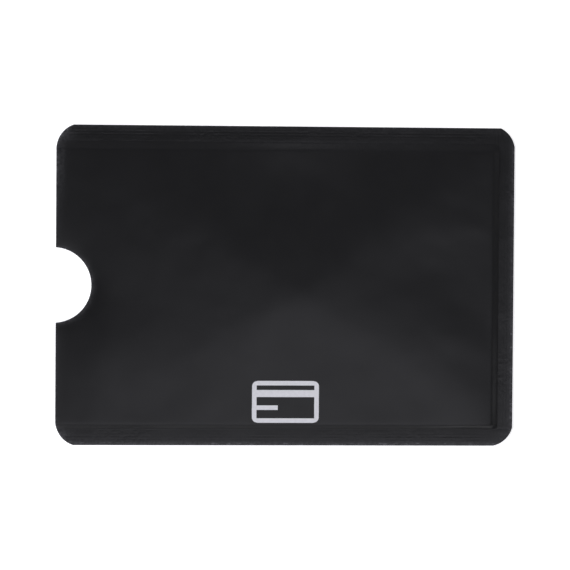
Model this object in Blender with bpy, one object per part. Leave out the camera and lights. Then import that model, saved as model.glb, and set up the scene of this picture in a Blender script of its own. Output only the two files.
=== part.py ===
"""A slim foil-laminate sleeve for one bank-size card, open at one short end with a thumb notch.

Two walls of the same laminate are fused along three edges. Each wall is a black outer film, an
aluminium foil and a heat-seal liner, a bond line apart. The back wall lies flat. The front wall
climbs from the fused bands beside the card, so that the card has room in the empty pocket, and
is blown up into a low four-sided pillow.

+X runs from the mouth to the closed end, +Y to the upper long edge and +Z out of the printed
front. The origin lies on the resting face, under the middle of the sleeve. Lengths are metres.
"""

import math

import bmesh
import bpy

# The card that the pocket is made for
CARD_LENGTH = 0.0856
CARD_WIDTH = 0.05398
CARD_THICKNESS = 0.00076

# Room round the card, on each long side, at its far end and over its face
SIDE_ROOM = 0.00156
END_ROOM = 0.0014
FACE_ROOM = 0.00012

# Width of the fused bands along the long edges and across the closed end
SIDE_SEAM = 0.00295
END_SEAM = 0.0035

# The die-cut outline
CORNER_RADIUS = 0.005
NOTCH_RADIUS = 0.0074
NOTCH_SETBACK = 0.00045

# Layers of one wall and what lies between them
FILM = 0.00004
FOIL = 0.00002
LINER = 0.00005
BOND_LINE = 0.00002
LINER_GAP = 0.00002

# The pillow of the front wall, and its highest point from the middle of the pocket
PILLOW_HEIGHT = 0.001
APEX_X = 0.004
APEX_Y = -0.0028

# The printed sign: a plain outline of a card with a stripe and one line of embossing
SIGN_LENGTH = 0.0132
SIGN_WIDTH = 0.0083
SIGN_RADIUS = 0.0011
SIGN_LINE = 0.0009
SIGN_STRIPE = 0.0014
SIGN_BAR_LENGTH = 0.0042
SIGN_SETBACK = 0.0016
INK = 0.00001
INK_GAP = 0.00001

# Creases of the front wall: shares of the ramp beside the card, and cells up to the apex
RAMP_SHARES = (0.0, 0.2, 0.8, 1.0)
PILLOW_EDGE_SHARE = 0.18
PILLOW_POWER = 5
PANEL_CELLS_X = 4
PANEL_CELLS_Y = 3

# The tool that trims every layer to the outline
DIE_NAME = "trim_die"

# Faces of the round edges, and how far a cutter runs past what it cuts
CORNER_SEGMENTS = 8
NOTCH_SEGMENTS = 72
SIGN_SEGMENTS = 5
OVERRUN = 0.001

# Sizes of the whole sleeve that follow from these
POCKET_WIDTH = CARD_WIDTH + 2 * SIDE_ROOM
POCKET_LENGTH = CARD_LENGTH + END_ROOM
POCKET_HEIGHT = CARD_THICKNESS + FACE_ROOM
SLEEVE_WIDTH = POCKET_WIDTH + 2 * SIDE_SEAM
SLEEVE_LENGTH = POCKET_LENGTH + END_SEAM

MOUTH_X = -SLEEVE_LENGTH / 2
POCKET_END_X = MOUTH_X + POCKET_LENGTH
POCKET_MIDDLE_X = (MOUTH_X + POCKET_END_X) / 2

# Heights: a skin is a film and a foil with their bond lines, and the seams lie between two
SKIN = FILM + BOND_LINE + FOIL + BOND_LINE
FRONT_BASE = SKIN + LINER + LINER_GAP
FRONT_RISE = POCKET_HEIGHT - LINER_GAP
SLEEVE_HEIGHT = FRONT_BASE + LINER + SKIN + FRONT_RISE + PILLOW_HEIGHT


def clear_scene():
    """Removes what the scene holds, so that the sleeve stands in it alone."""
    for old in list(bpy.data.objects):
        bpy.data.objects.remove(old, do_unlink=True)


def new_collection(name):
    """Adds a collection to the scene."""
    collection = bpy.data.collections.new(name)
    bpy.context.scene.collection.children.link(collection)
    return collection


def new_material(name, colour, roughness, metallic=0.0):
    """A plain finish for one kind of layer."""
    material = bpy.data.materials.new(name)
    material.use_nodes = True
    shader = material.node_tree.nodes["Principled BSDF"]
    shader.inputs["Base Color"].default_value = (*colour, 1.0)
    shader.inputs["Roughness"].default_value = roughness
    shader.inputs["Metallic"].default_value = metallic
    return material


def object_from(name, bm, collection, material=None):
    """Turns a bmesh into a named object with one material."""
    mesh = bpy.data.meshes.new(name)
    bm.to_mesh(mesh)
    bm.free()
    item = bpy.data.objects.new(name, mesh)
    if material:
        mesh.materials.append(material)
    collection.objects.link(item)
    return item


def hide_cutter(item):
    """Marks a cutter, which shapes the layers but isn't one of them."""
    item.hide_render = True
    item.display_type = "WIRE"
    return item


def cut(item, cutter, operation):
    """Cuts a layer with a cutter, live."""
    modifier = item.modifiers.new(cutter.name, "BOOLEAN")
    modifier.operation = operation
    modifier.solver = "EXACT"
    modifier.object = cutter


def ease(share):
    """A slope that starts and ends level."""
    return share * share * (3 - 2 * share)


def opening(x, y):
    """How far the front wall has left the seams: 0 on the fused bands, 1 over the card."""
    beside = (POCKET_WIDTH / 2 - abs(y)) / SIDE_ROOM
    ahead = (POCKET_END_X - x) / END_ROOM
    return ease(min(max(beside, 0), 1)) * ease(min(max(ahead, 0), 1))


def pillow(x, y):
    """Height of the front wall's four-sided pillow, whose edges run from the corners to the apex."""
    apex_x = POCKET_MIDDLE_X + APEX_X
    run_x = POCKET_END_X - apex_x if x > apex_x else apex_x - MOUTH_X
    run_y = POCKET_WIDTH / 2 - APEX_Y if y > APEX_Y else APEX_Y + POCKET_WIDTH / 2
    across = min(abs(x - apex_x) / run_x, 1)
    along = min(abs(y - APEX_Y) / run_y, 1)
    reach = min((across**PILLOW_POWER + along**PILLOW_POWER) ** (1 / PILLOW_POWER), 1)
    blunt = PILLOW_EDGE_SHARE
    return PILLOW_HEIGHT * (1 - (math.hypot(reach, blunt) - blunt) / (math.hypot(1, blunt) - blunt))


def front_level(x, y):
    """Underside of the front wall's innermost layer."""
    return FRONT_BASE + FRONT_RISE * opening(x, y) + pillow(x, y)


def raised(lift):
    """The level of a surface that lies this high over the front wall's underside."""
    return lambda x, y: front_level(x, y) + lift


def seam_floor(x, y):
    """Underside of a seam: on the back foil in the fused band, free of the back wall on its ramp."""
    return front_level(x, y) if opening(x, y) > 0 else SKIN


def steps(start, end, count):
    """Evenly spaced places from start up to, but without, end."""
    return [start + (end - start) * k / count for k in range(count)]


def end_line(share):
    """A crease of the ramp at the closed end, from the seam's inner edge to the card's edge."""
    return POCKET_END_X - END_ROOM * share


def side_line(share):
    """A crease of the ramps along the sides, from the seam's inner edge to the card's edge."""
    return POCKET_WIDTH / 2 - SIDE_ROOM * share


def lines_along():
    """Places along the length where the front wall is creased: mouth, panel, ramp and end."""
    apex_x = POCKET_MIDDLE_X + APEX_X
    mouth = MOUTH_X - OVERRUN
    ramp = [end_line(share) for share in reversed(RAMP_SHARES)]
    panel = [*steps(mouth, apex_x, PANEL_CELLS_X), *steps(apex_x, ramp[0], PANEL_CELLS_X)]
    return [*panel, *ramp, SLEEVE_LENGTH / 2 + OVERRUN]


def lines_across():
    """Places across the width where the front wall is creased: seam, ramp, panel, ramp, seam."""
    outer = SLEEVE_WIDTH / 2 + OVERRUN
    ramp = [side_line(share) for share in reversed(RAMP_SHARES)]
    lower = steps(-ramp[0], APEX_Y, PANEL_CELLS_Y)
    upper = steps(APEX_Y, ramp[0], PANEL_CELLS_Y)
    return [-outer, *[-y for y in reversed(ramp[1:])], *lower, *upper, *ramp, outer]


def sheet(name, xs, ys, lower, upper, collection, material):
    """One layer: a grid on the given lines, grown straight up from its lower to its upper side."""
    bm = bmesh.new()
    last_x = len(xs) - 1
    last_y = len(ys) - 1
    bmesh.ops.create_grid(bm, x_segments=last_x, y_segments=last_y, size=1)
    for vertex in bm.verts:
        x = xs[round((vertex.co.x + 1) / 2 * last_x)]
        y = ys[round((vertex.co.y + 1) / 2 * last_y)]
        vertex.co = (x, y, lower(x, y))
    bmesh.ops.triangulate(bm, faces=bm.faces[:], quad_method="FIXED")
    grown = bmesh.ops.extrude_face_region(bm, geom=bm.faces[:])["geom"]
    for vertex in grown:
        if isinstance(vertex, bmesh.types.BMVert):
            vertex.co.z = upper(vertex.co.x, vertex.co.y)
    bmesh.ops.recalc_face_normals(bm, faces=bm.faces[:])
    return object_from(name, bm, collection, material)


def block(name, low, high, collection, material=None):
    """A plain block between two corners."""
    bm = bmesh.new()
    bmesh.ops.create_cube(bm, size=1)
    for vertex in bm.verts:
        vertex.co = [
            near if place < 0 else far for place, near, far in zip(vertex.co, low, high)
        ]
    return object_from(name, bm, collection, material)


def make_die(collection):
    """The sleeve's outline with its four round corners, as the tool that trims every layer."""
    half = (SLEEVE_LENGTH / 2, SLEEVE_WIDTH / 2)
    low = (-half[0], -half[1], -OVERRUN)
    high = (half[0], half[1], SLEEVE_HEIGHT + OVERRUN)
    die = block(DIE_NAME, low, high, collection)
    bm = bmesh.new()
    bm.from_mesh(die.data)
    upright = [edge for edge in bm.edges if edge.verts[0].co.xy == edge.verts[1].co.xy]
    bmesh.ops.bevel(
        bm,
        geom=upright,
        offset=CORNER_RADIUS,
        segments=CORNER_SEGMENTS,
        affect="EDGES",
        profile=0.5,
        material=-1,
    )
    bm.to_mesh(die.data)
    bm.free()
    return hide_cutter(die)


def make_punch(collection):
    """The round punch that opens the thumb notch through both walls at the mouth."""
    bm = bmesh.new()
    bmesh.ops.create_cone(
        bm,
        cap_ends=True,
        segments=NOTCH_SEGMENTS,
        radius1=NOTCH_RADIUS,
        radius2=NOTCH_RADIUS,
        depth=SLEEVE_HEIGHT + 2 * OVERRUN,
    )
    punch = object_from("thumb_punch", bm, collection)
    punch.location = (MOUTH_X - NOTCH_SETBACK, 0, SLEEVE_HEIGHT / 2)
    return hide_cutter(punch)


def rounded_outline(low, high, radius):
    """Points round a rectangle with round corners, anticlockwise."""
    points = []
    corners = (
        (high[0] - radius, high[1] - radius, 0),
        (low[0] + radius, high[1] - radius, 1),
        (low[0] + radius, low[1] + radius, 2),
        (high[0] - radius, low[1] + radius, 3),
    )
    for x, y, quarter in corners:
        for step in range(SIGN_SEGMENTS + 1):
            angle = (quarter + step / SIGN_SEGMENTS) * math.pi / 2
            points.append((x + radius * math.cos(angle), y + radius * math.sin(angle)))
    return points


def sign_outlines():
    """The sign's outer edge, the slot over its stripe and the window under it."""
    low = (-SIGN_LENGTH / 2, -SIGN_WIDTH / 2)
    high = (SIGN_LENGTH / 2, SIGN_WIDTH / 2)
    inner_low = (low[0] + SIGN_LINE, low[1] + SIGN_LINE)
    inner_high = (high[0] - SIGN_LINE, high[1] - SIGN_LINE)
    stripe_top = inner_high[1] - SIGN_LINE
    stripe_base = stripe_top - SIGN_STRIPE
    bar_top = (stripe_base + inner_low[1] + SIGN_LINE) / 2
    slot = [
        (inner_low[0], stripe_top),
        (inner_high[0], stripe_top),
        inner_high,
        (inner_low[0], inner_high[1]),
    ]
    window = [
        inner_low,
        (inner_high[0], inner_low[1]),
        (inner_high[0], stripe_base),
        (inner_low[0], stripe_base),
        (inner_low[0], bar_top),
        (inner_low[0] + SIGN_BAR_LENGTH, bar_top),
        (inner_low[0] + SIGN_BAR_LENGTH, bar_top - SIGN_LINE),
        (inner_low[0], bar_top - SIGN_LINE),
    ]
    return [rounded_outline(low, high, SIGN_RADIUS), slot, window]


def sign_place():
    """Middle of the sign: centred on the notch's line, just above the lower ramp."""
    return 0, SIGN_SETBACK + SIGN_WIDTH / 2 - POCKET_WIDTH / 2


def make_sign_cutter(collection):
    """The sign's flat outline, tall enough to cut the ink layer out of its sheet."""
    curve = bpy.data.curves.new("sign_cutter", "CURVE")
    curve.dimensions = "2D"
    curve.fill_mode = "BOTH"
    curve.extrude = SLEEVE_HEIGHT / 2 + OVERRUN
    for outline in sign_outlines():
        spline = curve.splines.new("POLY")
        spline.points.add(len(outline) - 1)
        for point, (x, y) in zip(spline.points, outline):
            point.co = (x, y, 0, 1)
        spline.use_cyclic_u = True
    drawn = bpy.data.objects.new("sign_outline", curve)
    collection.objects.link(drawn)
    drawn.location = (*sign_place(), SLEEVE_HEIGHT / 2)
    bpy.context.view_layer.update()
    graph = bpy.context.evaluated_depsgraph_get()
    mesh = bpy.data.meshes.new_from_object(drawn.evaluated_get(graph))
    bm = bmesh.new()
    bm.from_mesh(mesh)
    bmesh.ops.remove_doubles(bm, verts=bm.verts[:], dist=INK)
    bmesh.ops.recalc_face_normals(bm, faces=bm.faces[:])
    bm.to_mesh(mesh)
    bm.free()
    cutter = bpy.data.objects.new("sign_cutter", mesh)
    cutter.matrix_world = drawn.matrix_world
    collection.objects.link(cutter)
    bpy.data.objects.remove(drawn, do_unlink=True)
    return hide_cutter(cutter)


def trim(item, *cutters):
    """Cuts a layer to the sleeve's outline and, with the punch, opens its thumb notch."""
    for cutter in cutters:
        cut(item, cutter, "INTERSECT" if cutter.name == DIE_NAME else "DIFFERENCE")


def make_back_wall(layers, parts, tools):
    """The flat back wall, stacked up from the floor. Its liner ends short of the seams."""
    full_end = SLEEVE_LENGTH / 2 + OVERRUN
    full_side = SLEEVE_WIDTH / 2 + OVERRUN
    base = 0
    for layer, thickness, material in layers:
        lined = layer == "liner"
        far = end_line(RAMP_SHARES[1]) if lined else full_end
        side = side_line(RAMP_SHARES[1]) if lined else full_side
        low = (MOUTH_X - OVERRUN, -side, base)
        high = (far, side, base + thickness)
        trim(block(f"back_{layer}", low, high, parts, material), *tools)
        base += thickness + BOND_LINE


def lines_between(lines, low, high):
    """The grid lines from one place to another, both of them lines."""
    return [place for place in lines if low <= place <= high]


def make_front_wall(layers, parts, tools):
    """The raised front wall, stacked outwards from the card, and the height it has reached."""
    side = side_line(RAMP_SHARES[-1])
    base = 0
    for layer, thickness, material in layers:
        xs = lines_along()
        ys = lines_across()
        if layer == "liner":
            xs = lines_between(xs, xs[0], end_line(RAMP_SHARES[-1]))
            ys = lines_between(ys, -side, side)
        lower = raised(base)
        upper = raised(base + thickness)
        trim(sheet(f"front_{layer}", xs, ys, lower, upper, parts, material), *tools)
        base += thickness + BOND_LINE
    return base - BOND_LINE


def make_seams(parts, material, die):
    """The fused bands with their ramps: one along each long edge, one across the closed end."""
    xs = lines_along()
    ys = lines_across()
    side = side_line(RAMP_SHARES[-2])
    card_side = side_line(RAMP_SHARES[-1])
    end_xs = lines_between(xs, end_line(RAMP_SHARES[-2]), xs[-1])
    seams = (
        ("seam_top", xs, lines_between(ys, side, ys[-1])),
        ("seam_bottom", xs, lines_between(ys, ys[0], -side)),
        ("seam_end", end_xs, lines_between(ys, -card_side, card_side)),
    )
    for name, along, across in seams:
        trim(sheet(name, along, across, seam_floor, raised(LINER), parts, material), die)


def lines_around(lines, low, high):
    """The stretch of grid lines that just covers a range."""
    first = max(k for k, place in enumerate(lines) if place <= low)
    last = min(k for k, place in enumerate(lines) if place >= high)
    return lines[first : last + 1]


def make_sign(lift, parts, material, cutters):
    """The sign's ink, which follows the film under it."""
    x, y = sign_place()
    xs = lines_around(lines_along(), x - SIGN_LENGTH / 2, x + SIGN_LENGTH / 2)
    ys = lines_around(lines_across(), y - SIGN_WIDTH / 2, y + SIGN_WIDTH / 2)
    ink = sheet("printed_sign", xs, ys, raised(lift), raised(lift + INK), parts, material)
    cut(ink, make_sign_cutter(cutters), "INTERSECT")


def main():
    clear_scene()
    parts = new_collection("card_sleeve")
    cutters = new_collection("cutters")
    die = make_die(cutters)
    punch = make_punch(cutters)

    black_film = new_material("black_film", (0.012, 0.012, 0.013), 0.42)
    bright_foil = new_material("bright_foil", (0.78, 0.78, 0.8), 0.35, 1.0)
    clear_liner = new_material("clear_liner", (0.62, 0.63, 0.65), 0.5)
    fused_seal = new_material("fused_seal", (0.55, 0.56, 0.58), 0.55)
    silver_ink = new_material("silver_ink", (0.52, 0.52, 0.55), 0.45)

    film = ("film", FILM, black_film)
    foil = ("foil", FOIL, bright_foil)
    liner = ("liner", LINER, clear_liner)
    make_back_wall((film, foil, liner), parts, (die, punch))
    outside = make_front_wall((liner, foil, film), parts, (die, punch))
    make_seams(parts, fused_seal, die)
    make_sign(outside + INK_GAP, parts, silver_ink, cutters)


main()
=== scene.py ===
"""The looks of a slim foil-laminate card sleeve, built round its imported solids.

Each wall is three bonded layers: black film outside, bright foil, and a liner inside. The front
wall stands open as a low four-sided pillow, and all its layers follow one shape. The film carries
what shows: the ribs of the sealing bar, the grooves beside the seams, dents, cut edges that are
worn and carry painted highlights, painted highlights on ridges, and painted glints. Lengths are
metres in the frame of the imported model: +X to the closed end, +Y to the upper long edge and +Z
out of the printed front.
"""

import math

import bmesh
import bpy
import numpy as np
from mathutils import Matrix, Vector


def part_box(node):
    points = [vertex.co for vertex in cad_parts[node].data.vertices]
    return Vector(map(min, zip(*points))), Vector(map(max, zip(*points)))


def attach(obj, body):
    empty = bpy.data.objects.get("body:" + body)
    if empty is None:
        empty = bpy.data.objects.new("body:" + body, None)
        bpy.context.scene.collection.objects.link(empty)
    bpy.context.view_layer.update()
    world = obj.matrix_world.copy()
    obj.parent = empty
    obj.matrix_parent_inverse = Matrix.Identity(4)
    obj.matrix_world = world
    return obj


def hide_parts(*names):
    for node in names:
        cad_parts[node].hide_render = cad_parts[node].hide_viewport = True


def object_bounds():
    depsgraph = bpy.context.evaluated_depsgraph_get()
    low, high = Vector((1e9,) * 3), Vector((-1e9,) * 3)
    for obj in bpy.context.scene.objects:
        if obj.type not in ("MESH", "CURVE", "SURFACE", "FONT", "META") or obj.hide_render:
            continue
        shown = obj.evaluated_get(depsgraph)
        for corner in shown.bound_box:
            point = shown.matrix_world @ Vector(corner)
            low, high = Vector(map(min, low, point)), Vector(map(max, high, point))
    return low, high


MM = 0.001

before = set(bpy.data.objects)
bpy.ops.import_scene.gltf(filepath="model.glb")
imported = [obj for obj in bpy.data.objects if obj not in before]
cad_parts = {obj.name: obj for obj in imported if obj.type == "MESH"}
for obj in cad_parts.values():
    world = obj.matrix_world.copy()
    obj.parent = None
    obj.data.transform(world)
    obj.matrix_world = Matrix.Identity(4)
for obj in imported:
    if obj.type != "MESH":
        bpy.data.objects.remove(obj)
cad_low, cad_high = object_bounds()


def thickness(node):
    """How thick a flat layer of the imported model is."""
    low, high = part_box(node)
    return high.z - low.z


# Layers and levels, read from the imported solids
FILM = thickness("back_film")
FOIL = thickness("back_foil")
LINER = thickness("back_liner")
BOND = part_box("back_foil")[0].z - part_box("back_film")[1].z
WALL = LINER + BOND + FOIL + BOND + FILM
SEAM_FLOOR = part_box("seam_top")[0].z
FUSED_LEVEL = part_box("front_film")[0].z - (WALL - FILM)
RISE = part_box("front_liner")[0].z - FUSED_LEVEL

# The pillow's height, with a little headroom under the solids' top for the dents
HEADROOM = 0.005 * MM
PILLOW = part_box("front_film")[1].z - (FUSED_LEVEL + RISE + WALL) - HEADROOM

# The outline, and the lines where the card's edges and the seams' inner edges lie
HALF_LENGTH = cad_high.x
HALF_WIDTH = cad_high.y
MOUTH = cad_low.x
CARD_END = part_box("front_liner")[1].x
CARD_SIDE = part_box("front_liner")[1].y
LINED_SHARE = 0.8
SEAM_END = CARD_END + (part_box("back_liner")[1].x - CARD_END) / LINED_SHARE
SEAM_SIDE = CARD_SIDE + (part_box("back_liner")[1].y - CARD_SIDE) / LINED_SHARE
SEAM_NODE_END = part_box("seam_end")[0].x
SEAM_NODE_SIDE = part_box("seam_top")[0].y
CORNER_RADIUS = 5.0 * MM
NOTCH_RADIUS = 7.4 * MM
NOTCH_X = MOUTH - 0.45 * MM

# How far the corner punch strayed outwards, in millimetres: corner, along X and along Y
STRAYS = (
    ((-1, 1), (0.0, 0.26)),
    ((1, 1), (0.06, 0.50)),
    ((-1, -1), (0.0, 0.22)),
    ((1, -1), (0.16, 0.10)),
)

# The ramps from the seams up to the card's edges: where their feet and shoulders lie, and how
# softly both turn, as shares of a ramp
FOOT_END = SEAM_END + 0.45 * MM
FOOT_SIDE = SEAM_SIDE - 0.25 * MM
SHOULDER_END = CARD_END + 0.5 * MM
SHOULDER_TOP = CARD_SIDE - 0.1 * MM
SHOULDER_BOTTOM = CARD_SIDE + 0.35 * MM
FOOT_SOFTNESS = 0.025
SOFTNESS_TOP = 0.09
SOFTNESS_BOTTOM = 0.2
SOFTNESS_END = 0.22

# The pillow: its apex, how soft its hips are, and how much it flattens towards the seams
APEX_X = 3.0 * MM
APEX_Y = -1.7 * MM
HIP_SHARE = 0.05
SHELF_SHARE = 0.45

# Dents of the front wall, in millimetres: middle x and y, half width, half height, turn, height
DENTS = (
    (1.5, 29.5, 11.0, 6.0, 0, 0.300),
    (30.0, 3.5, 9.5, 5.0, 5, -0.080),
    (36.0, -11.2, 7.5, 4.0, -20, 0.100),
    (31.0, -7.5, 10.0, 4.5, -35, 0.040),
    (27.8, -9.0, 12.0, 7.0, -38, 0.095),
    (25.5, -13.0, 15.0, 5.0, -39, 0.100),
    (37.5, -22.0, 8.0, 8.5, -30, 0.220),
    (17.0, -14.0, 5.0, 5.0, 0, -0.030),
    (33.0, 11.8, 9.0, 3.0, 9, 0.040),
    (38.5, 11.5, 3.5, 1.5, -35, 0.025),
    (31.0, 16.5, 10.0, 5.0, 0, 0.030),
    (-33.0, -12.0, 8.5, 5.5, 12, 0.120),
    (-14.0, -20.0, 11.5, 4.5, 45, 0.055),
    (-34.0, 5.5, 10.0, 6.0, 0, 0.060),
    (-32.0, -23.0, 8.0, 5.0, 0, -0.095),
    (-37.0, -19.5, 5.5, 6.0, 20, 0.060),
    (39.5, 27.0, 3.0, 7.0, 0, 0.090),
    (22.0, -23.5, 9.0, 4.0, -10, -0.040),
)

# How the free edge round the notch hangs, close to it and further off
DROOP = 0.22 * MM
DROOP_REACH = 1.8 * MM
SAG = 0.15 * MM
SAG_REACH = 6.0 * MM

# The cut edge, which the die rolls down
ROLL_DEPTH = 0.07 * MM
ROLL_WIDTH = 0.55 * MM

# Ribs that the sealing bar leaves in the film: their bands, and how much of the full height the
# bar presses there
RIB_PITCH = 0.6 * MM
RIB_HEIGHT = 0.008 * MM
TOP_RIBS = (SEAM_SIDE + 0.5 * MM, HALF_WIDTH - 0.3 * MM)
BOTTOM_RIBS = (SEAM_SIDE + 0.3 * MM, HALF_WIDTH - 0.6 * MM)
END_RIBS = (FOOT_END + 0.5 * MM, HALF_LENGTH)
BACK_RIBS = (SEAM_SIDE + 0.4 * MM, HALF_WIDTH - 0.4 * MM)
BACK_END_RIBS = (SEAM_END + 0.7 * MM, HALF_LENGTH)
FRONT_CONTACT = 0.55
BACK_CONTACT = 0.6
END_CONTACT = 0.6
BACK_END_CONTACT = 0.7

# The waves by which the bar's marks come and go: lengths in millimetres, and how far each is set
# off for every millimetre of its length
FRONT_WAVES = (31, 13, 7.3)
BACK_WAVES = (27, 11, 6.1)
GROOVE_WAVES = (29, 11, 4.7)
WAVE_OFFSET = 1.7

# Grooves at the feet of the ramps: depths, places, and half widths inwards and outwards
UPPER_GROOVE = 0.035 * MM
LOWER_GROOVE = 0.018 * MM
GROOVE_EVENNESS = 0.8
GROOVE_PLACE = FOOT_SIDE - 0.22 * MM
GROOVE_INWARDS = 0.12 * MM
GROOVE_OUTWARDS = 0.36 * MM
SECOND_GROOVE_PLACE = FOOT_END - 0.75 * MM
END_GROOVE_INWARDS = 0.15 * MM
END_GROOVE_OUTWARDS = 0.2 * MM
END_GROOVE_STOP = HALF_WIDTH - 0.6 * MM

# Painted highlight on the ridge where the end ramp meets the panel
RIDGE_HIGHLIGHT = 0.08
RIDGE_PLACE = FOOT_END - 1.7 * MM
RIDGE_INWARDS = 0.7 * MM
RIDGE_OUTWARDS = 0.9 * MM

# A paler strip along the mouth's edge over the notch, and a paler field that fades inwards
STRIP_PALING = 0.19
STRIP_WIDTH = 2.0 * MM
STRIP_FADE = 0.6 * MM
FIELD_PALING = 0.06
FIELD_REACH = 3.0 * MM
PALE_PLACE = 24.5 * MM
PALE_HALF = 6.0 * MM

# Paler patches: the first two are painted highlights along the top seam's inner edge, the rest lie
# at
# the lower edge and the corners. Columns: paleness, and in millimetres middle x, half width towards
# the mouth and towards the end, middle y, half width along y
PALE_PATCHES = (
    (0.16, 4.0, 16.0, 32.0, 28.2, 0.7),
    (0.08, 4.0, 16.0, 32.0, 27.1, 0.8),
    (0.08, -24.0, 24.0, 24.0, -29.6, 1.2),
    (0.40, -43.65, 1.5, 1.5, 29.7, 1.5),
    (0.40, -43.65, 1.5, 1.5, -29.7, 1.5),
    (0.35, 43.45, 1.6, 1.6, -29.7, 1.3),
)

# The printed sign: an outline of a card with a stripe and one line of embossing
SIGN_RADIUS = 1.1 * MM
SIGN_LINE = 0.9 * MM
SIGN_STRIPE = 1.4 * MM
SIGN_BAR_LENGTH = 4.2 * MM
INK = 0.01 * MM
INK_GAP = 0.01 * MM
INK_STEP = 0.2 * MM

# Spacing of the sheets' lines, where the fine ones start, how close two points may lie, and the
# angle from which an edge is sharp
PANEL_STEP = 0.6 * MM
INNER_STEP = 1.4 * MM
NOTCH_STEP = 0.35 * MM
LIP_STEP = 0.15 * MM
LIP_WIDTH = 1.5 * MM
RAMP_STEP = 0.13 * MM
BAND_STEP = 0.1 * MM
RAMP_LEAD = 1.0 * MM
NOTCH_ROWS = 24
ARC_TOP_DEGREES = (66, 70, 74, 78, 82, 86, 90)
WELD = 0.001 * MM
SHARP_DEGREES = 40


def climb(share, softness):
    """The front wall's way up from a seam, between a tight foot and a shoulder of this softness."""
    return (np.hypot(share, FOOT_SOFTNESS) - np.hypot(share - 1, softness) + 1) / 2


def ramp_shares(x, y):
    """How far across the ramps beside and before the card a place lies."""
    shoulder = np.where(y > 0, SHOULDER_TOP, SHOULDER_BOTTOM)
    beside = (FOOT_SIDE - np.abs(y)) / (FOOT_SIDE - shoulder)
    ahead = (FOOT_END - x) / (FOOT_END - SHOULDER_END)
    return beside, ahead


def opening(x, y):
    """How far the front wall has left the seams: 0 on the fused bands, 1 over the card."""
    beside, ahead = ramp_shares(x, y)
    softness = np.where(y > 0, SOFTNESS_TOP, SOFTNESS_BOTTOM)
    return climb(beside, softness) * climb(ahead, SOFTNESS_END)


def blunt(distance, tip):
    """A distance that turns smoothly round zero."""
    return np.hypot(distance, tip) - tip


def pillow(x, y):
    """Height of the four-sided pillow over the card."""
    run_x = np.where(x > APEX_X, SEAM_END - APEX_X, APEX_X - MOUTH)
    run_y = np.where(y > APEX_Y, SEAM_SIDE - APEX_Y, APEX_Y + SEAM_SIDE)
    along = blunt(x - APEX_X, HIP_SHARE * run_x) / run_x
    across = blunt(y - APEX_Y, HIP_SHARE * run_y) / run_y
    reach = HIP_SHARE * np.log(np.exp(along / HIP_SHARE) + np.exp(across / HIP_SHARE))
    least = HIP_SHARE * math.log(2)
    reach = np.clip((reach - least) / (1 - least), 0, 1)
    return PILLOW * (1 - reach) * (1 - SHELF_SHARE * reach)


def hills(table, x, y):
    """Sum of the soft hills and hollows of a table."""
    total = np.zeros_like(x)
    for middle_x, middle_y, half_x, half_y, turn, height in table:
        cosine = math.cos(math.radians(turn))
        sine = math.sin(math.radians(turn))
        dx = x / MM - middle_x
        dy = y / MM - middle_y
        u = (dx * cosine + dy * sine) / half_x
        v = (dy * cosine - dx * sine) / half_y
        total += height * MM * np.exp(-u * u - v * v)
    return total


def droop(x, y):
    """How the free edge round the thumb notch hangs."""
    distance = np.hypot(x - NOTCH_X, y)
    gap = distance - NOTCH_RADIUS
    ahead = 0.5 + 0.5 * (x - NOTCH_X) / distance
    return -ahead * (DROOP * np.exp(-gap / DROOP_REACH) + SAG * np.exp(-gap / SAG_REACH))


def outline_gap(x, y):
    """Distance inwards from the die-cut outline, without the notch."""
    gap = np.minimum(HALF_LENGTH - np.abs(x), HALF_WIDTH - np.abs(y))
    for (side_x, side_y), (stray_x, stray_y) in STRAYS:
        over_x = np.maximum(side_x * x - (HALF_LENGTH - CORNER_RADIUS + stray_x * MM), 0)
        over_y = np.maximum(side_y * y - (HALF_WIDTH - CORNER_RADIUS + stray_y * MM), 0)
        gap = np.minimum(gap, CORNER_RADIUS - np.hypot(over_x, over_y))
    return gap


def roll(x, y):
    """How far the die has rolled the cut edge down."""
    share = np.clip(1 - outline_gap(x, y) / ROLL_WIDTH, 0, 1)
    return -ROLL_DEPTH * share * share


def level(x, y):
    """Underside of the front wall."""
    shape = RISE + pillow(x, y) + hills(DENTS, x, y) + droop(x, y)
    return FUSED_LEVEL + shape * opening(x, y) + roll(x, y)


def raised(lift):
    """The level of a surface that lies this high over the front wall's underside."""
    return lambda x, y: level(x, y) + lift


def line(place, middle, half_width, beyond=None):
    """A soft line's strength across it; beyond is its half width on the far side."""
    reach = np.where(place > middle, beyond or half_width, half_width)
    return np.exp(-(((place - middle) / reach) ** 2))


def fade_in(distance):
    """A share that rises from 0 to 1 within a millimetre."""
    return np.clip(distance / MM, 0, 1)


def fading(share, middle, slope, least=0):
    """A strength that changes evenly along a side: its value at the middle and its slope."""
    return np.clip(middle + slope * share, least, 1)


def wander(place, waves):
    """A slow, uneven swing between -1 and 1 along a length."""
    swing = 0
    for length in waves:
        swing = swing + np.sin(2 * math.pi * place / (length * MM) + WAVE_OFFSET * length)
    return swing / len(waves)


def uneven(place, mean, waves):
    """A strength that wanders about its mean and never passes 1."""
    return mean + (1 - mean) * wander(place, waves)


def ribs(across, band, strength):
    """The sealing bar's fine ribs within a band."""
    start, end = band
    room = np.clip(np.minimum(across - start, end - across) / RIB_PITCH, 0, 1)
    return RIB_HEIGHT * strength * room * np.cos(2 * math.pi * across / RIB_PITCH)


def long_grooves(x, y):
    """The grooves beside the long seams: the upper fades to the right, the lower to the left."""
    upper = UPPER_GROOVE * fading(x / HALF_LENGTH, middle=0.8, slope=-1, least=0.2)
    lower = LOWER_GROOVE * fading(x / HALF_LENGTH, middle=0.65, slope=1, least=0.3)
    depth = np.where(y > 0, upper, lower) * uneven(x, GROOVE_EVENNESS, GROOVE_WAVES)
    return depth * line(np.abs(y), GROOVE_PLACE, GROOVE_INWARDS, GROOVE_OUTWARDS)


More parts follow.
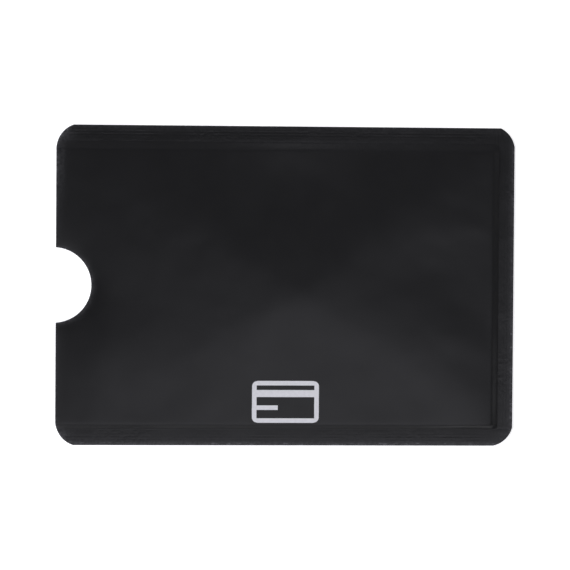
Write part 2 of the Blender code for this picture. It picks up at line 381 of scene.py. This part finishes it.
def end_grooves(x, y):
    """The groove beside the end seam, which fades downwards, and a second one in the top corner."""
    crossing = fade_in(y - SHOULDER_TOP)
    first = line(x, FOOT_END, END_GROOVE_INWARDS, END_GROOVE_OUTWARDS)
    second = line(x, SECOND_GROOVE_PLACE, END_GROOVE_INWARDS)
    strength = fading(y / HALF_WIDTH, middle=0.35, slope=1.2) * fade_in(END_GROOVE_STOP - np.abs(y))
    return UPPER_GROOVE * ((1 + crossing) * first + crossing * second) * strength


def film_relief(x, y):
    """What the sealing bar has pressed into the outer film."""
    worn_bar = uneven(x, FRONT_CONTACT, FRONT_WAVES)
    relief = ribs(y, TOP_RIBS, worn_bar) + ribs(-y, BOTTOM_RIBS, worn_bar)
    relief += ribs(x, END_RIBS, END_CONTACT) * fade_in(FOOT_SIDE - np.abs(y))
    return relief - long_grooves(x, y) - end_grooves(x, y)


def film_top(x, y):
    """The front film's outer side."""
    return level(x, y) + WALL + film_relief(x, y)


def inked(lift):
    """A surface of the printed ink, which follows the film under it."""
    return lambda x, y: film_top(x, y) + INK_GAP + lift


def flat(height):
    """A level surface."""
    return lambda x, y: np.full_like(x, height)


def back_side(x, y):
    """The back film's outer side: level, but for the ribs that the sealing bar has left."""
    relief = ribs(np.abs(y), BACK_RIBS, uneven(x, BACK_CONTACT, BACK_WAVES))
    relief += ribs(x, BACK_END_RIBS, BACK_END_CONTACT) * (np.abs(y) < SEAM_SIDE)
    return relief + RIB_HEIGHT


def seam_floor(x, y):
    """Underside of a seam: on the back foil in the fused band, free on its ramp."""
    beside, ahead = ramp_shares(x, y)
    return np.where(np.minimum(beside, ahead) > 0, level(x, y), SEAM_FLOOR)


def edge_wear_and_highlight(x, y):
    """Wear at the cut edges, with painted highlights strongest on the lower edge and the closed
    end; both fade inwards from each edge.
    """
    notch_gap = np.hypot(x - NOTCH_X, y) - NOTCH_RADIUS
    # The distance from an edge, the wear and painted highlight there, and how far they reach in
    # millimetres
    edges = (
        (HALF_WIDTH - y, 0.24 - 0.14 * x / HALF_LENGTH, 0.35),
        (HALF_WIDTH + y, 1.5, 0.5),
        (HALF_LENGTH - x, 1.4 - 0.3 * y / HALF_WIDTH, 0.45),
        (x - MOUTH, 0.38 - 0.2 * y / HALF_WIDTH, 0.45),
        (notch_gap, 0.8, 0.4),
        (outline_gap(x, y), 0.5, 0.5),
    )
    return np.maximum.reduce([paleness * np.exp(-gap / (reach * MM)) for gap, paleness, reach in edges])


def ridge_highlight(x, y):
    """Painted highlight on the end ramp's ridge, stronger towards the lower edge."""
    strength = fading(y / HALF_WIDTH, middle=0.6, slope=-1.2) * fade_in(y + CARD_SIDE)
    return RIDGE_HIGHLIGHT * line(x, RIDGE_PLACE, RIDGE_INWARDS, RIDGE_OUTWARDS) * strength


def mouth_paling(x, y):
    """How much paler the film is along the mouth over the notch."""
    inwards = x - MOUTH
    strip = STRIP_PALING * np.clip((STRIP_WIDTH - inwards) / STRIP_FADE, 0, 1)
    field = FIELD_PALING * np.exp(-inwards / FIELD_REACH)
    return (strip + field) * line(y, PALE_PLACE, PALE_HALF)


def wear_and_highlight(x, y):
    """How pale the film is, from 0 to 1: wear, paler patches, and painted highlights on edges and
    ridges.
    """
    total = edge_wear_and_highlight(x, y) + ridge_highlight(x, y) + mouth_paling(x, y)
    for paleness, middle_x, before, beyond, middle_y, half_y in PALE_PATCHES:
        along = line(x, middle_x * MM, before * MM, beyond * MM)
        total += paleness * along * line(y, middle_y * MM, half_y * MM)
    return np.clip(total, 0, 1)


def pressed(x, y):
    """How far the sealing bar has pressed the film: 1 on the fused bands."""
    beside, ahead = ramp_shares(x, y)
    return np.clip(1 - np.minimum(beside, ahead), 0, 1)


def places(start, end, step):
    """Evenly spaced places from start up to, but without, end."""
    count = max(round((end - start) / step), 1)
    return [start + (end - start) * k / count for k in range(count)]


def columns(step):
    """Lines across the length: mouth, notch, panel, ramp and end seam."""
    lip = MOUTH + LIP_WIDTH
    notch = NOTCH_X + NOTCH_RADIUS + LIP_WIDTH
    return [
        *places(MOUTH, lip, LIP_STEP),
        *places(lip, notch, NOTCH_STEP),
        *places(notch, CARD_END, step),
        *places(CARD_END, FOOT_END, RAMP_STEP),
        *places(FOOT_END, HALF_LENGTH, BAND_STEP),
        HALF_LENGTH,
    ]


def rows(step):
    """Lines along the width, the same on both sides of the middle."""
    arc_y = HALF_WIDTH - CORNER_RADIUS
    arcs = [arc_y + CORNER_RADIUS * math.sin(math.radians(d)) for d in ARC_TOP_DEGREES]
    mouth_turn = math.acos((MOUTH - NOTCH_X) / NOTCH_RADIUS)
    turns = [mouth_turn * k / NOTCH_ROWS for k in range(1, NOTCH_ROWS + 1)]
    notch = [NOTCH_RADIUS * math.sin(turn) for turn in turns]
    upper = [
        *notch,
        *places(notch[-1], SHOULDER_TOP - RAMP_LEAD, step)[1:],
        *places(SHOULDER_TOP - RAMP_LEAD, FOOT_SIDE, RAMP_STEP),
        *places(FOOT_SIDE, arcs[0], BAND_STEP),
        *arcs,
    ]
    return [*[-y for y in reversed(upper)], 0.0, *upper]


def within(lines, low, high):
    """The lines from one place to another, both places included."""
    inside = [place for place in lines if low + WELD < place < high - WELD]
    return [low, *inside, high]


def corner_inset(over, radius, stray=0.0):
    """How far a round corner stands back, this far beyond the height of its centre."""
    over = max(over, 0)
    return max(radius - math.sqrt(max(radius**2 - over * over, 0)) - stray, 0)


def sleeve_sides(y):
    """Where the outline lies at this height, on the mouth's side and at the closed end."""
    insets = {-1: 0.0, 1: 0.0}
    for (side_x, side_y), (stray_x, stray_y) in STRAYS:
        over = side_y * y - (HALF_WIDTH - CORNER_RADIUS + stray_y * MM)
        inset = corner_inset(over, CORNER_RADIUS, stray_x * MM)
        insets[side_x] = max(insets[side_x], inset)
    left = MOUTH + insets[-1]
    if abs(y) < NOTCH_RADIUS:
        left = max(left, NOTCH_X + math.sqrt(NOTCH_RADIUS**2 - y * y))
    return left, HALF_LENGTH - insets[1]


def read_points(mesh):
    """All points of a mesh, one row each."""
    points = np.empty(len(mesh.vertices) * 3, np.float32)
    mesh.vertices.foreach_get("co", points)
    return points.reshape(-1, 3).astype(float)


def sheet(name, xs, ys, lower, upper, sides=sleeve_sides, kept=None):
    """One layer: a grid laid to the outline, grown from its lower to its upper side."""
    bm = bmesh.new()
    last_x = len(xs) - 1
    last_y = len(ys) - 1
    bmesh.ops.create_grid(bm, x_segments=last_x, y_segments=last_y, size=1)
    bounds = [sides(y) for y in ys]
    for vertex in bm.verts:
        column = round((vertex.co.x + 1) / 2 * last_x)
        row = round((vertex.co.y + 1) / 2 * last_y)
        left, right = bounds[row]
        vertex.co = (min(max(xs[column], left), right), ys[row], 0)
    if kept:
        spare = [face for face in bm.faces if not kept(*face.calc_center_median().xy)]
        bmesh.ops.delete(bm, geom=spare, context="FACES")
    bmesh.ops.remove_doubles(bm, verts=bm.verts[:], dist=WELD)
    grown = bmesh.ops.extrude_face_region(bm, geom=bm.faces[:])["geom"]
    for vertex in grown:
        if isinstance(vertex, bmesh.types.BMVert):
            vertex.co.z = 1
    bmesh.ops.recalc_face_normals(bm, faces=bm.faces[:])
    mesh = bpy.data.meshes.new(name)
    bm.to_mesh(mesh)
    bm.free()
    points = read_points(mesh)
    x, y, side = points.T
    points[:, 2] = np.where(side > 0.5, upper(x, y), lower(x, y))
    mesh.vertices.foreach_set("co", points.astype(np.float32).ravel())
    mesh.update()
    item = bpy.data.objects.new(name, mesh)
    bpy.context.scene.collection.objects.link(item)
    return item


def store(item, name, measure):
    """Stores a measure of each point's place on a piece, for its finish."""
    x, y, _ = read_points(item.data).T
    layer = item.data.attributes.new(name, "FLOAT", "POINT")
    layer.data.foreach_set("value", measure(x, y).astype(np.float32))


def finish_piece(item, material, slot, *nodes):
    """Smooths a piece, gives it its finish and lets it stand for its solids."""
    item.data.shade_smooth()
    item.data.set_sharp_from_angle(angle=math.radians(SHARP_DEGREES))
    item.data.materials.append(material)
    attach(item, "root")
    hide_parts(*nodes)


def new_material(name):
    """A material, its tree and its shader."""
    material = bpy.data.materials.new(name)
    material.use_nodes = True
    tree = material.node_tree
    return material, tree, tree.nodes["Principled BSDF"]


def add(tree, kind, inputs=None, **settings):
    """Adds a shader node; each input is a value or another node's output."""
    node = tree.nodes.new("ShaderNode" + kind)
    for name, value in settings.items():
        setattr(node, name, value)
    for name, value in (inputs or {}).items():
        if isinstance(value, bpy.types.NodeSocket):
            tree.links.new(value, node.inputs[name])
        else:
            node.inputs[name].default_value = value
    return node


def math_of(tree, operation, *values, clamp=False):
    """The output of one sum."""
    inputs = dict(enumerate(values))
    return add(tree, "Math", inputs, operation=operation, use_clamp=clamp).outputs[0]


def noise_of(tree, where, size, detail=2.0, stretch=(1, 1, 1), turn=0):
    """A noise whose features are about this large."""
    scale = tuple(share / size for share in stretch)
    inputs = {"Vector": where, "Scale": scale, "Rotation": (0, 0, math.radians(turn))}
    placed = add(tree, "Mapping", inputs).outputs[0]
    return add(tree, "TexNoise", {"Vector": placed, "Scale": 1.0, "Detail": detail}).outputs[0]


def stepped(tree, value, start, end, low=0.0, high=1.0):
    """A value's rise between two thresholds."""
    inputs = {"Value": value, "From Min": start, "From Max": end, "To Min": low, "To Max": high}
    return add(tree, "MapRange", inputs).outputs[0]


def blended(tree, share, first, second):
    """Two colours blended by a share; the first may also be another node's output."""
    if not isinstance(first, bpy.types.NodeSocket):
        first = (*first, 1)
    inputs = {0: share, 6: first, 7: (*second, 1)}
    return add(tree, "Mix", inputs, data_type="RGBA").outputs[2]


def bumped(tree, shader, height):
    """Lets a height in metres tilt the surface."""
    bump = add(tree, "Bump", {"Height": height, "Distance": 1.0, "Strength": 1.0})
    tree.links.new(bump.outputs[0], shader.inputs["Normal"])


# The film's colours: untouched; pale, for dust, wear and painted highlights; and bright, for
# painted glints
BLACK = (0.0032, 0.0032, 0.0035)
DUST_WEAR_AND_HIGHLIGHT = (0.042, 0.042, 0.044)
GLINT = (0.095, 0.095, 0.1)

# Its grain, the clouds in its roughness and, as large as these, the slow swell of its surface
GRAIN_SIZE = 0.16 * MM
GRAIN_HEIGHT = 0.00025 * MM
FILM_ROUGHNESS = 0.265
CLOUD_ROUGHNESS = 0.08
CLOUD_SIZE = 7.0 * MM
SWELL_HEIGHT = 0.07 * MM

# Its marks. A range holds the values of a noise or a distance between which a mark comes in, and a
# pair of strengths the weakest and the strongest
HAIR_SIZE = 4.0 * MM
HAIR_STRETCH = (1, 55, 1)
HAIR_TURN = 24
HAIR_RANGE = (0.66, 0.74)
HAIR_ROUGHNESS = 0.03
DUST_PER_METRE = 75.0
DUST_RANGE = (0.012, 0.004)
DUST_SHOWN = 0.55
BLOTCH_SIZE = 0.45 * MM
BLOTCH_STRENGTHS = (0.25, 1.6)
PALE_ROUGHNESS = 0.2
GLINT_SIZE = 0.5 * MM
GLINT_STRETCH = (0.45, 1, 1)
GLINT_RANGE = (0.58, 0.68)
GLINT_PALENESS_RANGE = (0.35, 0.7)
CRINKLE_SIZE = 0.7 * MM
CRINKLE_HEIGHT = 0.045 * MM
SWATHE_SIZE = 11.0 * MM
SWATHE_RANGE = (0.42, 0.62)
SWATHE_STRENGTHS = (0.35, 1.4)

# The range that most of a noise lies in, and the grain of the inner layers and the print
NOISE_RANGE = (0.3, 0.7)
LAYER_GRAIN_SIZE = 0.2 * MM
LAYER_GRAIN_HEIGHT = 0.002 * MM
LAYER_ROUGHNESS_SPREAD = 0.06


def film_material(name, with_wear_and_highlights):
    """Satin black film: grain, hairlines, a little dust and, on the front, wear with painted
    highlights, painted glints and crinkles.
    """
    material, tree, shader = new_material(name)
    where = add(tree, "TexCoord").outputs["Object"]
    grain = noise_of(tree, where, GRAIN_SIZE, detail=3)
    cloud = noise_of(tree, where, CLOUD_SIZE, detail=3)
    swell = noise_of(tree, where, CLOUD_SIZE, detail=1)
    strands = noise_of(tree, where, HAIR_SIZE, stretch=HAIR_STRETCH, turn=HAIR_TURN)
    hair = stepped(tree, strands, *HAIR_RANGE)
    cells = add(tree, "TexVoronoi", {"Vector": where, "Scale": DUST_PER_METRE})
    dust = stepped(tree, cells.outputs["Distance"], *DUST_RANGE)
    shown = math_of(tree, "MULTIPLY", dust, DUST_SHOWN)
    height = math_of(tree, "MULTIPLY", swell, SWELL_HEIGHT)
    height = math_of(tree, "MULTIPLY_ADD", grain, GRAIN_HEIGHT, height)
    roughness = math_of(tree, "MULTIPLY_ADD", cloud, CLOUD_ROUGHNESS, FILM_ROUGHNESS)
    roughness = math_of(tree, "MULTIPLY_ADD", hair, HAIR_ROUGHNESS, roughness)
    if with_wear_and_highlights:
        # The stored paleness: wear, with painted highlights on the edges and ridges
        worn_and_lit = add(tree, "Attribute", attribute_name="wear_and_highlight").outputs["Fac"]
        press = add(tree, "Attribute", attribute_name="pressed").outputs["Fac"]
        blotches = noise_of(tree, where, BLOTCH_SIZE, detail=3)
        patch = stepped(tree, blotches, *NOISE_RANGE, *BLOTCH_STRENGTHS)
        paleness = math_of(tree, "MULTIPLY", worn_and_lit, patch, clamp=True)
        shown = math_of(tree, "MAXIMUM", shown, paleness)
        swathes = noise_of(tree, where, SWATHE_SIZE)
        strength = stepped(tree, swathes, *SWATHE_RANGE, *SWATHE_STRENGTHS)
        strength = math_of(tree, "MULTIPLY", press, strength)
        creases = noise_of(tree, where, CRINKLE_SIZE, detail=4)
        crinkle = math_of(tree, "MULTIPLY", creases, strength)
        height = math_of(tree, "MULTIPLY_ADD", crinkle, CRINKLE_HEIGHT, height)
        roughness = math_of(tree, "MULTIPLY_ADD", shown, PALE_ROUGHNESS, roughness)
    # Dust, wear and painted highlights pale the black
    colour = blended(tree, shown, BLACK, DUST_WEAR_AND_HIGHLIGHT)
    if with_wear_and_highlights:
        # Painted glints: bright flecks where the edges are palest
        glint_specks = noise_of(tree, where, GLINT_SIZE, stretch=GLINT_STRETCH)
        glint = stepped(tree, glint_specks, *GLINT_RANGE)
        glint = math_of(tree, "MULTIPLY", glint, stepped(tree, worn_and_lit, *GLINT_PALENESS_RANGE))
        colour = blended(tree, glint, colour, GLINT)
    tree.links.new(roughness, shader.inputs["Roughness"])
    tree.links.new(colour, shader.inputs["Base Color"])
    bumped(tree, shader, height)
    return material


def layer_material(name, dark, light, roughness, size, metallic=0):
    """An inner layer or a print: a faintly cloudy colour with a fine grain."""
    material, tree, shader = new_material(name)
    where = add(tree, "TexCoord").outputs["Object"]
    share = stepped(tree, noise_of(tree, where, size, detail=4), *NOISE_RANGE)
    fine = noise_of(tree, where, LAYER_GRAIN_SIZE, detail=3)
    tree.links.new(blended(tree, share, dark, light), shader.inputs["Base Color"])
    smoothest = roughness - LAYER_ROUGHNESS_SPREAD
    roughest = roughness + LAYER_ROUGHNESS_SPREAD
    rough = stepped(tree, fine, *NOISE_RANGE, low=smoothest, high=roughest)
    tree.links.new(rough, shader.inputs["Roughness"])
    shader.inputs["Metallic"].default_value = metallic
    bumped(tree, shader, math_of(tree, "MULTIPLY", fine, LAYER_GRAIN_HEIGHT))
    return material


front_finish = film_material("black_film", True)
back_finish = film_material("black_film_back", False)
foil_finish = layer_material(
    "bright_foil",
    dark=(0.72, 0.72, 0.74),
    light=(0.84, 0.84, 0.86),
    roughness=0.32,
    size=3 * MM,
    metallic=1,
)
liner_finish = layer_material(
    "clear_liner",
    dark=(0.58, 0.59, 0.61),
    light=(0.66, 0.67, 0.69),
    roughness=0.42,
    size=5 * MM,
)
seal_finish = layer_material(
    "fused_seal",
    dark=(0.50, 0.51, 0.53),
    light=(0.60, 0.61, 0.63),
    roughness=0.5,
    size=1.2 * MM,
)
ink_finish = layer_material(
    "silver_ink",
    dark=(0.70, 0.70, 0.71),
    light=(0.76, 0.76, 0.77),
    roughness=0.42,
    size=0.5 * MM,
)

fine_x = columns(PANEL_STEP)
fine_y = rows(PANEL_STEP)
inner_x = columns(INNER_STEP)
inner_y = rows(INNER_STEP)
foil_base = LINER + BOND

outer_film = sheet("outer_film", fine_x, fine_y, raised(WALL - FILM), film_top)
store(outer_film, "wear_and_highlight", wear_and_highlight)
store(outer_film, "pressed", pressed)
finish_piece(outer_film, front_finish, "black_film", "front_film")
shield = sheet("shield_foil", inner_x, inner_y, raised(foil_base), raised(foil_base + FOIL))
finish_piece(shield, foil_finish, "bright_foil", "front_foil")
panel_x = within(inner_x, MOUTH, CARD_END)
panel_y = within(inner_y, -CARD_SIDE, CARD_SIDE)
pocket_liner = sheet("pocket_liner", panel_x, panel_y, raised(0), raised(LINER))
finish_piece(pocket_liner, liner_finish, "clear_liner", "front_liner")
seams = (
    ("top", inner_x, within(inner_y, SEAM_NODE_SIDE, HALF_WIDTH)),
    ("bottom", inner_x, within(inner_y, -HALF_WIDTH, -SEAM_NODE_SIDE)),
    ("end", within(inner_x, SEAM_NODE_END, HALF_LENGTH), panel_y),
)
for side, xs, ys in seams:
    seam = sheet(f"fused_{side}", xs, ys, seam_floor, raised(LINER))
    finish_piece(seam, seal_finish, "fused_seal", f"seam_{side}")

back_sheet = sheet("back_sheet", inner_x, inner_y, back_side, flat(FILM))
finish_piece(back_sheet, back_finish, "black_film", "back_film")
for node, material in (("back_foil", foil_finish), ("back_liner", liner_finish)):
    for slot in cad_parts[node].material_slots:
        slot.material = material

# The sign
sign_low, sign_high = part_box("printed_sign")
sign_left = sign_low.x + SIGN_LINE
sign_right = sign_high.x - SIGN_LINE
sign_base = sign_low.y + SIGN_LINE
sign_top = sign_high.y - SIGN_LINE
stripe_top = sign_top - SIGN_LINE
stripe_base = stripe_top - SIGN_STRIPE
bar_top = (stripe_base + sign_base + SIGN_LINE) / 2
bar_base = bar_top - SIGN_LINE
bar_end = sign_left + SIGN_BAR_LENGTH


def sign_sides(y):
    """Where the sign's outer edge lies at this height."""
    over = max(y - sign_high.y, sign_low.y - y) + SIGN_RADIUS
    inset = corner_inset(over, SIGN_RADIUS)
    return sign_low.x + inset, sign_high.x - inset


def is_printed(x, y):
    """Whether a place lies on the sign's rim, stripe or bar."""
    rim = not (sign_left < x < sign_right and sign_base < y < sign_top)
    stripe = stripe_base < y < stripe_top
    bar = bar_base < y < bar_top and x < bar_end
    return rim or stripe or bar


def stops(*edges):
    """Finely spaced lines that include these edges."""
    lines = []
    for start, end in zip(edges, edges[1:]):
        lines += places(start, end, INK_STEP)
    return [*lines, edges[-1]]


sign_x = stops(sign_low.x, sign_left, bar_end, sign_right, sign_high.x)
sign_y = stops(
    sign_low.y,
    sign_base,
    bar_base,
    bar_top,
    stripe_base,
    stripe_top,
    sign_top,
    sign_high.y,
)
sign = sheet("card_sign", sign_x, sign_y, inked(0), inked(INK), sign_sides, is_printed)
finish_piece(sign, ink_finish, "silver_ink", "printed_sign")

# The stage: a floor that shows white to the camera and in reflections, and keeps the shadow
FLOOR_RADIUS = 2.5
FLOOR_SIDES = 96
FLOOR_GAP = 0.02 * MM
FLOOR_GLOW = 0.65
bm = bmesh.new()
bmesh.ops.create_circle(bm, cap_ends=True, segments=FLOOR_SIDES, radius=FLOOR_RADIUS)
bmesh.ops.translate(bm, verts=bm.verts[:], vec=(0, 0, -FLOOR_GAP))
floor_mesh = bpy.data.meshes.new("floor")
bm.to_mesh(floor_mesh)
bm.free()
floor = bpy.data.objects.new("floor", floor_mesh)
bpy.context.scene.collection.objects.link(floor)
floor_finish, tree, shader = new_material("floor_white")
shader.inputs["Base Color"].default_value = (0.8, 0.8, 0.8, 1)
shader.inputs["Roughness"].default_value = 0.9
shader.inputs["Emission Color"].default_value = (1, 1, 1, 1)
path = add(tree, "LightPath")
seen = math_of(tree, "MAXIMUM", path.outputs["Is Camera Ray"], path.outputs["Is Glossy Ray"])
seen = math_of(tree, "MAXIMUM", seen, path.outputs["Is Transmission Ray"])
tree.links.new(math_of(tree, "MULTIPLY", seen, FLOOR_GLOW), shader.inputs["Emission Strength"])
floor.data.materials.append(floor_finish)

# The room: bright near the horizon, with a paler ring high up round a dark middle, which is darkest
# a little to the mouth's side. The table gives the height of a direction and its brightness
ROOM = (
    (0.0, 0.50),
    (0.07, 0.30),
    (0.15, 0.22),
    (0.6, 0.215),
    (0.8, 0.26),
    (0.9, 0.28),
    (0.955, 0.15),
    (1.0, 0.085),
)
COOL = (0.975, 0.975, 1.05)
DARK_TOWARDS = (-0.30, 0.02, 0.95)
DARK_CORE = 0.12
DARK_RIM = 0.34
DARK_SHARE = 0.1
world = bpy.data.worlds.new("room")
bpy.context.scene.world = world
world.use_nodes = True
tree = world.node_tree
direction = add(tree, "TexCoord").outputs["Generated"]
upward = add(tree, "SeparateXYZ", {0: direction}).outputs["Z"]
offset = add(tree, "VectorMath", {0: direction, 1: DARK_TOWARDS}, operation="DISTANCE")
away = offset.outputs["Value"]
shade = stepped(tree, away, DARK_CORE, DARK_RIM, low=DARK_SHARE)
ramp = add(tree, "ValToRGB", {0: upward})
elements = ramp.color_ramp.elements
# A new ramp already has two elements
for k, (place, strength) in enumerate(ROOM):
    element = elements[k] if k < 2 else elements.new(place)
    element.position = place
    element.color = (*[share * strength for share in COOL], 1)
tree.links.new(ramp.outputs[0], tree.nodes["Background"].inputs["Color"])
tree.links.new(shade, tree.nodes["Background"].inputs["Strength"])


def soft_box(name, place, aim, size_x, size_y, radiance):
    """A soft box of a given brightness."""
    light = bpy.data.lights.new(name, "AREA")
    light.shape = "RECTANGLE"
    light.size = size_x
    light.size_y = size_y
    light.energy = radiance * math.pi * size_x * size_y
    light.color = COOL
    item = bpy.data.objects.new(name, light)
    item.location = place
    item.rotation_euler = (Vector(aim) - Vector(place)).to_track_quat("-Z", "Y").to_euler()
    item.visible_camera = False
    bpy.context.scene.collection.objects.link(item)


# The overhead soft boxes, all at one height. A row holds a box's edges in degrees from straight up,
# seen from the sleeve, two towards the closed end and two towards the upper edge, and its radiance.
# Three that lie side by side light the pillow's fields, and the dim one beyond lights the end ramp
BOX_HEIGHT = 0.9
OVERHEAD_BOXES = (
    ("overhead", -7.5, 17, -9, -3.5, 1.04),
    ("leaning", -7.5, 17, -20, -9, 0.95),
    ("slanting", -7.5, 17, -75, -20, 0.72),
    ("beyond", 21, 45, -20, -6.5, 0.48),
)

# The bright boxes on the mouth's side, by their turn round the sleeve in degrees
SIDE_BOXES = (("side_far", 145), ("side", 180), ("side_near", 215))
SIDE_PLACE = Vector((1.05, 0, 0.56))
SIDE_WIDTH = 0.62
SIDE_HEIGHT = 0.42
SIDE_RADIANCE = 6.6


def at_angle(degrees):
    """How far sideways a place on an overhead soft box lies, seen from the sleeve."""
    return BOX_HEIGHT * math.tan(math.radians(degrees))


for name, left, right, start, end, radiance in OVERHEAD_BOXES:
    low_x, high_x, low_y, high_y = [at_angle(edge) for edge in (left, right, start, end)]
    place = ((low_x + high_x) / 2, (low_y + high_y) / 2, BOX_HEIGHT)
    soft_box(name, place, (place[0], place[1], 0), high_x - low_x, high_y - low_y, radiance)
for name, turn in SIDE_BOXES:
    place = Matrix.Rotation(math.radians(turn), 3, "Z") @ SIDE_PLACE
    soft_box(name, place, (0, 0, 0), SIDE_WIDTH, SIDE_HEIGHT, SIDE_RADIANCE)

# The camera, placed so that the outline's corners meet the photograph's
LENS = 160.0
EYE = Vector((-30.54, 12.93, 499.22)) * MM
TARGET = Vector((-0.16, 0.22, 0.0)) * MM
TILT_DEGREES = 0.397
camera_data = bpy.data.cameras.new("camera")
camera_data.lens = LENS
camera_data.sensor_width = 36
camera_data.clip_start = 0.01
camera_data.clip_end = 20
camera = bpy.data.objects.new("camera", camera_data)
bpy.context.scene.collection.objects.link(camera)
bpy.context.scene.camera = camera
back = (EYE - TARGET).normalized()
right = Vector((0, 1, 0)).cross(back).normalized()
facing = Matrix((right, back.cross(right), back)).transposed()
tilt = Matrix.Rotation(math.radians(TILT_DEGREES), 3, "Z")
camera.matrix_world = Matrix.Translation(EYE) @ (facing @ tilt).to_4x4()

bpy.context.scene.view_settings.view_transform = "Standard"
